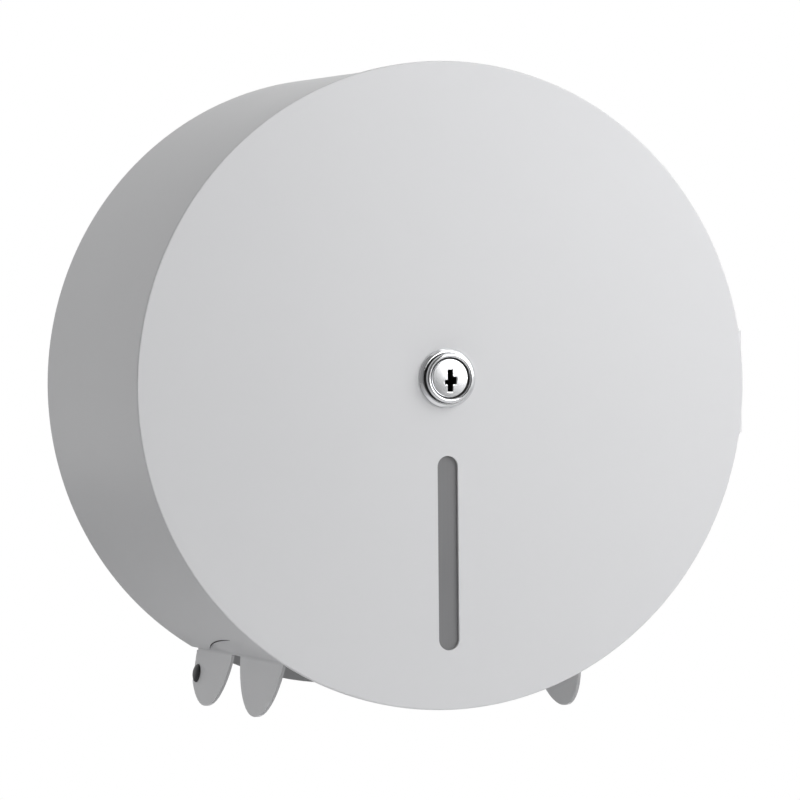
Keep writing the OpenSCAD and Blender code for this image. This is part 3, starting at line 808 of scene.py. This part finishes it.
def makeStuds():
    s = studShape
    n = pushNutShape
    back = lidFace - sheet - s["weld"]
    low = nodeSpan("window_studs")[2][0]
    neckLow = low + s["tip"] + s["ease"]
    neckTop = neckLow + s["neckHigh"]
    stud = lathe("studShape", [
        (0.3, low), (s["radius"], low, s["tipRound"]), (s["radius"], low + s["tip"], s["ease"]),
        (s["neck"], neckLow), (s["neck"], neckTop), (s["radius"], neckTop + s["ease"], s["ease"]),
        (s["radius"], back), (0.3, back)], loop=False, steps=32, up=0.0)
    nutOut = nodeSpan("push_nuts")[2]
    rimLow = nutOut[0] + n["rimLift"]
    nut = toothedRing("nutShape", n["bore"], n["outer"], n["sheet"], n["teeth"], n["depth"],
                      True, nutOut[0] + n["lift"])
    rim = lathe("nutRim", [
        (n["rimIn"], rimLow, n["edgeRound"]), (n["outer"], rimLow, n["rimRound"]),
        (n["outer"], nutOut[1], n["rimRound"]), (n["rimIn"], nutOut[1], n["edgeRound"])],
        steps=48, up=0.0)
    nut = soften(join("pushNut", nut, rim), 0.06, 1)
    first, last = studUps
    for name, node, shape in (("stripStuds", "window_studs", soften(stud, 0.0)),
                              ("stripPushNuts", "push_nuts", nut)):
        piece = runTree(name, copiesInRow, {
            "Count": 2, "Start": hung(0, first, 0), "Step": hung(0, last - first, 0),
            "Finish": zincFinish, "Shape": hiddenShape(shape)})
        settle(piece, zincFinish, "lid", "zinc_plate", node)


makeWindow()
makeStuds()
print("level window made")


# the lock: collar, barrel, turning plug and what is behind the lid
lockShape = {
    "collar": 11.5, "collarTop": 1.6, "collarLip": 0.7, "collarSlope": 1.0,
    "collarIn": 9.9,      # inner edge of the collar's top
    "head": 9.7, "headRound": 0.9,
    "headFoot": 8.3,      # its inside, where it stands on the collar
    "groove": 8.05, "grooveDepth": 1.2, "grooveRound": 0.65,
    "bore": 7.5,
    "body": 9.0, "bodyFlat": 8.3, "threadPitch": 1.5, "threadDepth": 0.55,
    "hole": 9.06,         # in the collar, the washer and the nut
    "nutFlats": 22.0, "washer": 13.0, "washerThick": 0.8, "washerTeeth": 14,
    "toothDepth": 1.3,
    "plugCrown": 0.3,     # height of the plug's slightly domed face
    "crownReach": 8.5, "crownRear": 60,
    "boreCut": (90, 130),
    "keywayReach": 7.2, "keywayDepth": 12,  # how far out and how deep the keyway takes painted shade
}
collarOut = lidFace + lockShape["collarTop"]
barrelOut = nodeSpan("lock_barrel")[2]
headTop = barrelOut[1]
plugFace = nodeSpan("lock_plug")[2][1]


def reach(face):
    # from the spindle axis to the middle of a face
    return math.hypot(face.center.x, face.center.z - axisUp * mm) / mm


def depthOf(face):
    return -face.center.y / mm


def makeCollar():
    s = lockShape
    collar = lathe("lockCollar", [
        (s["hole"], lidFace, 0.05), (s["collar"], lidFace, 0.1),
        (s["collar"], lidFace + s["collarLip"], 0.35),
        (s["collar"] - s["collarSlope"], collarOut, 0.5),
        (s["collarIn"], collarOut, 0.1), (s["hole"], collarOut - 0.15, 0.1)], steps=160)
    settle(soften(collar, 0), chromeFinish, "lid", "lock_chrome", "lock_collar")


def barrelShade(face):
    # painted shade: the groove round the plug and the side wall of the head take the near-black
    # finish
    s = lockShape
    groove = reach(face) < s["groove"] - 0.04 and depthOf(face) < headTop - 0.5
    side = (s["head"] - 0.1 < reach(face) < s["head"] + 0.05
            and collarOut < depthOf(face) < headTop - s["headRound"])
    return groove or side


def makeBarrel():
    s = lockShape
    headLow = collarOut + 0.02
    grooveFloor = headTop - s["grooveDepth"]
    head = lathe("lockHead", [
        (s["bore"], collarOut - 1.0), (s["headFoot"], collarOut - 1.0),
        (s["headFoot"], headLow), (s["head"], headLow, 0.15),
        (s["head"], headTop, s["headRound"]),
        (s["groove"] + 0.02, headTop, s["grooveRound"]), (s["groove"], grooveFloor, 0.15),
        (s["bore"], grooveFloor, 0.1)], steps=160)
    body = onAxis(threadedRod("lockBody", s["body"], s["threadPitch"], s["threadDepth"],
                              barrelOut[0], collarOut - 0.2, flat=s["bodyFlat"], steps=96))
    low, high = s["boreCut"]
    cut(body, lathe("lockBore", [(0.2, low), (s["bore"], low), (s["bore"], high), (0.2, high)],
                    loop=False, steps=96))
    # painted shade in the groove and on the head's side wall
    settle(soften(join("lockBarrel", head, body), 0), chromeFinish, "lid", "lock_chrome",
           "lock_barrel", inner=paintedShadeFinish, isInner=barrelShade)


def makeLockFixing():
    # toothed washer and nut behind the lid
    s = lockShape
    washer = onAxis(toothedRing("lockWasher", s["hole"], s["washer"], s["washerThick"],
                                s["washerTeeth"], s["toothDepth"], False,
                                nodeSpan("lock_washer")[2][0]))
    settle(soften(washer, 0.12), zincFinish, "lid", "zinc_plate", "lock_washer")
    low, high = nodeSpan("lock_nut")[2]
    nut = onAxis(hexNut("lockNut", s["nutFlats"], high - low, s["hole"], low))
    settle(soften(nut, 0), zincFinish, "lid", "zinc_plate", "lock_nut")


def keywayShade(face):
    # walls and floor of the keyway, which take painted shade
    s = lockShape
    return (reach(face) < s["keywayReach"] and depthOf(face) > plugFace - s["keywayDepth"]
            and (depthOf(face) < plugFace - 1 or abs(face.normal.y) < 0.5))


def makePlug():
    s = lockShape
    rims = [s["crownReach"] * k / 10 for k in range(10, 0, -1)]
    crown = [(r, plugFace - s["plugCrown"] * (r / s["bore"]) ** 2) for r in rims]
    plug = cut(copyNode("lockPlug", "lock_plug"),
               lathe("plugCrown", [(0.02, s["crownRear"]), (s["crownReach"], s["crownRear"]),
                                   *crown, (0.02, plugFace)], loop=False, steps=96),
               operation="INTERSECT")
    # painted shade in the keyway
    settle(soften(plug, 0.2, 2), plugFinish, "lock", "lock_chrome", "lock_plug",
           inner=paintedShadeFinish, isInner=keywayShade)
    for name, node, width in (("lockCam", "lock_cam", 0.3), ("camWasher", "cam_washer", 0.12),
                              ("camScrew", "cam_screw", 0.12)):
        settle(soften(copyNode(name, node), width), zincFinish, "lock", "zinc_plate", node)


makeCollar()
makeBarrel()
makeLockFixing()
makePlug()
print("lock made")


# the side band: rolled sheet whose two ends are arched above the teeth
bandShape = {
    "edgeRound": 0.4, "steps": 288,
    "notchAcross": (115, 130), "notchOut": (112.8, 130),  # the hinge's notch
    "archRise": 14.0,     # arched ends of the band, above the teeth
    "archRadius": 190.0,
    "archOut": 95.0,
    "cutterIn": 10, "cutterOver": 12,  # how far the arch's cutter passes the band
    "seam": 0.3,          # radius of the painted shadow line where an arch meets the teeth
    "seamFrom": 30.0,
    "seamTo": 82.0,
}


def archCut(side, turn):
    # disc that cuts one arched end: local x runs up along the band from its end
    s = bandShape
    rings = []
    for drop in (bandRadius - s["cutterIn"], bandRadius + s["cutterOver"]):
        ring = []
        for p in circlePath(s["archRadius"], 384, s["archRise"] - s["archRadius"], s["archOut"]):
            across = p.x * math.cos(turn) + drop * math.sin(turn)
            up = p.x * math.sin(turn) - drop * math.cos(turn)
            ring.append(hung(side * across, up, p.y))
        rings.append(ring)
    return ringsToPiece("archCut", rings)


def archSeam(side, turn):
    # painted shadow: a near-black line along the arch where it lies over the teeth, thinned out
    # towards both ends
    s = bandShape
    count = 40
    rings = []
    for k in range(count + 1):
        out = s["seamFrom"] + (s["seamTo"] - s["seamFrom"]) * k / count
        along = (s["archRise"] - s["archRadius"]
                 + math.sqrt(s["archRadius"] ** 2 - (out - s["archOut"]) ** 2))
        drop = math.sqrt(bandRadius ** 2 - along ** 2)
        radius = s["seam"] * math.sqrt(max(0.03, 1 - (2 * k / count - 1) ** 2))
        ring = []
        for p in circlePath(radius, 8, along, drop):
            ring.append(hung(side * (p.x * math.cos(turn) + p.y * math.sin(turn)),
                             p.x * math.sin(turn) - p.y * math.cos(turn), out))
        rings.append(ring)
    return ringsToPiece("archSeam", rings)


def makeBand():
    s = bandShape
    points = frame["nodes"]["side_band"].data.vertices
    lowest = min(points, key=lambda point: point.co.z).co
    halfOpening = math.atan2(abs(lowest.x), -lowest.z)
    piece = runTree("rolledBand", rolledSheet, {
        "Radius": bandRadius * mm, "Sheet": sheet * mm, "Depth": bandOut[1] * mm,
        "Half opening": halfOpening, "Edge rounding": s["edgeRound"] * mm,
        "Steps": s["steps"], "Finish": coatFinish})
    half = hingeNotch["half"]
    notch = prism("bandNotch", boxPath(*s["notchAcross"], -half, half), *s["notchOut"])
    cut(piece, notch, archCut(1, halfOpening), archCut(-1, halfOpening))
    soften(piece, 0.2)
    sheetFaces = len(piece.data.polygons)
    # painted shadow lines along both arches
    piece = join("rolledBand", piece, archSeam(1, halfOpening), archSeam(-1, halfOpening))
    return settle(soften(piece, 0), coatFinish, "housing", "white_paint", "side_band",
                  inner=paintedShadeFinish, isInner=lambda face: face.index >= sheetFaces)


makeBand()
print("band made")


# wall plate, tear plates and the rivets in the rear teeth
rivetShape = {
    "head": 3.7, "headHigh": 1.6, "shank": 1.6, "tail": 2.5, "tailHigh": 1.2,
    "seat": 0.05,         # free space between the head and the sheet
    "grip": 2.75,         # of the tear plate and the wall plate's ear together
    "place": (63.501, -116.248, 4.6),  # of the right one, on the outer face of its tooth
    "lean": 9.2,          # of the tooth, in degrees
}


def edgeShadeMask(face):
    # cut edges of a tear plate that look into the room or at the wall, picked for painted shade
    return abs(face.normal.y) > 0.3


def makePlates():
    plate = soften(copyNode("wallPlate", "back_plate"), 0.25, 2)
    # painted shade: the wall plate takes the darkened coat
    settle(plate, shadeFinish, "housing", "white_paint", "back_plate")
    for side in ("left", "right"):
        node = "tear_plate_" + side
        # painted shade on the cut edges that face the room or the wall
        settle(soften(copyNode("tearPlate" + side.capitalize(), node), 0.2, 2), coatFinish,
               "housing", "white_paint", node, inner=edgeShadeFinish, isInner=edgeShadeMask)
    s = rivetShape
    tailTop = -s["grip"] - s["seat"]
    tailEnd = -s["grip"] - s["tailHigh"]
    crown = s["headHigh"] - s["seat"]
    dome = [(s["head"] * math.cos(math.radians(t)), s["seat"] + crown * math.sin(math.radians(t)))
            for t in range(8, 90, 8)]
    rivet = soften(lathe("rivetShape", [
        (0.05, tailEnd), (s["tail"] - 0.2, tailEnd, 0.35), (s["tail"], tailTop, 0.15),
        (s["shank"], tailTop), (s["shank"], s["seat"]), (s["head"], s["seat"]), *dome,
        (0.02, s["headHigh"])], loop=False, steps=48, up=0.0), 0)
    lean = math.radians(s["lean"])
    turn = Vector((0, -1, 0)).rotation_difference(Vector((math.cos(lean), 0, math.sin(lean))))
    rivet.data.transform(Matrix.Translation(hung(*s["place"])) @ turn.to_matrix().to_4x4())
    rivets = runTree("toothRivets", mirroredPair,
                     {"Shape": hiddenShape(rivet), "Finish": blackFinish})
    settle(rivets, blackFinish, "housing", "black_finish", "tooth_rivets")


makePlates()
print("plates made")


# spindle and hub
def makeSpindle():
    turned = (("spindleFlange", "spindle_base", 0.35), ("spindleTube", "spindle_tube", 0.25),
              ("keeperPlate", "keeper_plate", 0.2), ("snapRing", "snap_ring", 0.2))
    for name, node, width in turned:
        settle(soften(copyNode(name, node), width), zincFinish, "housing", "zinc_plate", node)
    settle(soften(copyNode("thrustWasher", "thrust_washer"), 0.15), nylonFinish, "housing",
           "white_nylon", "thrust_washer")
    settle(soften(copyNode("rollHub", "roll_hub"), 0.4, 2), mouldedFinish, "roll_hub",
           "hub_plastic", "roll_hub")


screwShape = {
    "shank": 2.5, "pitch": 0.8, "depth": 0.4,
    "head": 4.5, "headHigh": 2.8, "headSide": 0.6,
    "crownShare": 0.66,   # of the head, left flat on its top
    "socket": 1.9, "pitchRadius": 29.0, "count": 4,
    "baseSheet": 2.5,     # flange of the spindle's base, under the heads
    "bore": 2.56, "washer": 5.2, "nutFlats": 8.0,
}


def makeBaseScrews():
    s = screwShape
    low = nodeSpan("base_screws")[2][0]
    seat = nodeSpan("spindle_base")[2][0] + s["baseSheet"]
    top = seat + s["headHigh"]
    shank = threadedRod("screwShank", s["shank"], s["pitch"], s["depth"], low, seat + 0.2,
                        steps=32)
    head = lathe("screwHead", [
        (0.4, seat, 0), (s["head"], seat, 0.2), (s["head"], seat + s["headSide"], 0.5),
        (s["head"] * s["crownShare"], top, 1.1), (0.4, top)], loop=False, steps=48, up=0.0)
    cut(head, prism("screwSocket", circlePath(s["socket"], 6), seat + s["headHigh"] / 3, seat + 5))
    screw = soften(join("screwShape", shank, soften(head, 0.08, 2)), 0)
    low, high = nodeSpan("base_washers")[2]
    washer = soften(lathe("washerShape", [
        (s["bore"], low, 0.1), (s["washer"], low, 0.25), (s["washer"], high, 0.25),
        (s["bore"], high, 0.1)], steps=48, up=0.0), 0)
    low, high = nodeSpan("base_nuts")[2]
    nut = soften(hexNut("nutHex", s["nutFlats"], high - low, s["bore"], low, steps=48), 0)
    for name, node, shape in (("baseScrews", "base_screws", screw),
                              ("baseWashers", "base_washers", washer),
                              ("baseNuts", "base_nuts", nut)):
        piece = runTree(name, copiesRound, {
            "Count": s["count"], "Radius": s["pitchRadius"] * mm, "First turn": math.pi / 4,
            "Centre": hung(0, axisUp, 0), "Finish": zincFinish, "Shape": hiddenShape(shape)})
        settle(piece, zincFinish, "housing", "zinc_plate", node)


makeSpindle()
makeBaseScrews()
print("spindle made")


# hinge
def makeHinge():
    for name, node, body in (("hingeLeafBand", "band_hinge_leaf", "housing"),
                             ("hingeLeafLid", "lid_hinge_leaf", "lid"),
                             ("hingePin", "hinge_pin", "housing")):
        settle(soften(copyNode(name, node), 0.15, 2), coatFinish, body, "hinge_steel", node)


makeHinge()
print("hinge made")


# camera, light and floor
cameraAt = {
    "azimuth": 21.1,       # degrees to the left of the lid's axis
    "elevation": 0.88,
    "roll": -0.515,
    "distance": 1916.1,    # from the middle of the lid's face
    "lens": 223.95,
    "sensor": 36,
    "lidPixel": (447.16, 386.2),  # where the middle of the lid's face falls
    "frameSize": 800,
}


def makeCamera():
    s = cameraAt
    focal = s["lens"] / s["sensor"] * s["frameSize"]
    azimuth, elevation, roll = (math.radians(s[k]) for k in ("azimuth", "elevation", "roll"))
    place = Vector((-math.sin(azimuth) * math.cos(elevation),
                    -math.cos(azimuth) * math.cos(elevation), math.sin(elevation)))
    ahead = -place
    right = ahead.cross(Vector((0, 0, 1))).normalized()
    up = right.cross(ahead)
    middle = s["frameSize"] / 2
    pan = math.atan((s["lidPixel"][0] - middle) / focal)
    tilt = math.atan((s["lidPixel"][1] - middle) / focal * math.cos(pan))
    ahead, right = (ahead * math.cos(pan) - right * math.sin(pan),
                    right * math.cos(pan) + ahead * math.sin(pan))
    ahead, up = (ahead * math.cos(tilt) + up * math.sin(tilt),
                 up * math.cos(tilt) - ahead * math.sin(tilt))
    right, up = (right * math.cos(roll) + up * math.sin(roll),
                 up * math.cos(roll) - right * math.sin(roll))
    data = bpy.data.cameras.new("viewCamera")
    data.lens = s["lens"]
    data.sensor_width = s["sensor"]
    data.clip_start = 0.05
    data.clip_end = 50
    camera = bpy.data.objects.new("viewCamera", data)
    bpy.context.scene.collection.objects.link(camera)
    turn = Matrix((right, up, -ahead)).transposed().to_4x4()
    stand = hung(0, 0, lidFace) + place * s["distance"] * mm
    camera.matrix_world = Matrix.Translation(stand) @ turn
    bpy.context.scene.camera = camera


lightRig = {
    # name: (place, what it points at, width, height, watts)
    "key": ((450, 330, 650), (10, 0, 122), 720, 720, 4.7),
    "topFill": ((-150, 900, 250), (0, 0, 60), 700, 500, 0.5),
    "floorFill": ((-80, -318, 160), (-50, -60, 80), 500, 300, 0.13),
}
floorShape = {
    "radius": 1450, "up": -330, "edge": 12,
    "pale": (0.90, 0.90, 0.90), "dull": (0.87, 0.87, 0.875), "roughness": 0.8,
    "glow": 0.6,          # how far it is lifted towards white where it is looked at
    "glowTone": (0.93, 0.93, 0.93),
}
ambient = 0.32            # of the room's light, where the sky isn't looked at


def makeLights():
    for name, (place, aim, width, height, watts) in lightRig.items():
        data = bpy.data.lights.new(name, "AREA")
        data.shape = "RECTANGLE"
        data.size = width * mm
        data.size_y = height * mm
        data.energy = watts
        lamp = bpy.data.objects.new(name, data)
        bpy.context.scene.collection.objects.link(lamp)
        lamp.location = hung(*place)
        lamp.visible_camera = False
        lamp.rotation_euler = (hung(*aim) - hung(*place)).to_track_quat("-Z", "Y").to_euler()


def makeWorld():
    world = bpy.data.worlds.new("studio")
    bpy.context.scene.world = world
    world.use_nodes = True
    world.node_tree.nodes.clear()
    wire = Wire(world.node_tree)
    path = wire.node("ShaderNodeLightPath")
    rays = [path.pick(label)
            for label in ("Is Camera Ray", "Is Glossy Ray", "Is Transmission Ray")]
    seen = wire.calc("MINIMUM", rays[0] + rays[1] + rays[2], 1)
    strength = ambient + seen * (1 - ambient)
    sky = wire.node("ShaderNodeBackground", None, {"Color": (1, 1, 1, 1), "Strength": strength})
    wire.node("ShaderNodeOutputWorld", None, {"Surface": sky})


reflectionCard = {
    # grey sheet bent round the front of the room, with a ceiling: it shows in the
    # polished lock and lights nothing; its tones run by degrees to the right of the
    # lid's axis
    "radius": 2300, "low": -1900, "high": 1900, "from": -125, "to": 40, "columns": 48,
    "tones": ((-125, 0.26), (-75, 0.30), (-50, 0.26), (-25, 0.09), (4, 0.09), (13, 0.24),
              (21, 0.46), (29, 0.74), (40, 0.95)),
}


def makeCard():
    s = reflectionCard
    sweep = s["to"] - s["from"]
    columns = s["columns"]
    turns = [math.radians(s["from"] + sweep * k / columns) for k in range(columns + 1)]
    shape = bmesh.new()
    rows = [[shape.verts.new(hung(s["radius"] * math.sin(turn), up,
                                  lidFace + s["radius"] * math.cos(turn))) for turn in turns]
            for up in (s["low"], s["high"])]
    crest = shape.verts.new(hung(0, s["high"], lidFace))
    for k in range(columns):
        shape.faces.new((rows[0][k], rows[1][k], rows[1][k + 1], rows[0][k + 1]))
        shape.faces.new((rows[1][k], crest, rows[1][k + 1]))
    mesh = bpy.data.meshes.new("reflectionCard")
    shape.to_mesh(mesh)
    shape.free()
    card = addPiece("reflectionCard", mesh)
    material, wire, where = startFinish("cardGrey")
    parts = wire.node("ShaderNodeSeparateXYZ", None, {0: where})
    out = -lidFace * mm - parts.pick("Y")
    turn = wire.calc("ARCTAN2", parts.pick("X"), out)
    share = (turn - math.radians(s["from"])) / math.radians(sweep)
    stops = [((degrees - s["from"]) / sweep, tone) for degrees, tone in s["tones"]]
    grey = wire.node("ShaderNodeValToRGB", {"stops": stops}, {0: share})
    endFinish(wire, {"Base Color": (0, 0, 0, 1), "Specular IOR Level": 0.0,
                     "Emission Strength": 1.0}, {"Emission Color": grey})
    card.data.materials.append(material)
    for rays in ("camera", "diffuse", "transmission", "volume_scatter", "shadow"):
        setattr(card, "visible_" + rays, False)


def makeFloor():
    s = floorShape
    outline = [s["radius"] * mm * p for p in circlePath(1, 96)]
    piece = ringsToPiece("floorDisc", [[Vector((p.x, p.y, up * mm)) for p in outline]
                                       for up in (s["up"] - s["edge"], s["up"])])
    material, wire, where = startFinish("paleFloor")
    cloud = noise(wire, where, 4, 2)
    matt = wire.node("ShaderNodeBsdfPrincipled", None, {
        "Roughness": s["roughness"], "Base Color": mixed(wire, cloud, s["pale"], s["dull"])})
    pale = wire.node("ShaderNodeEmission", None, {"Color": (*s["glowTone"], 1), "Strength": 1.0})
    looked = wire.node("ShaderNodeLightPath") * s["glow"]
    both = wire.node("ShaderNodeMixShader", None, {0: looked, 1: matt, 2: pale})
    wire.node("ShaderNodeOutputMaterial", None, {"Surface": both})
    piece.data.materials.append(material)


makeCamera()
makeLights()
makeWorld()
makeCard()
makeFloor()
bpy.context.scene.view_settings.view_transform = "Standard"
print("stage made")

# shapes that only the trees used
for piece in list(bpy.data.objects):
    if piece.name not in bpy.context.scene.objects:
        bpy.data.objects.remove(piece)
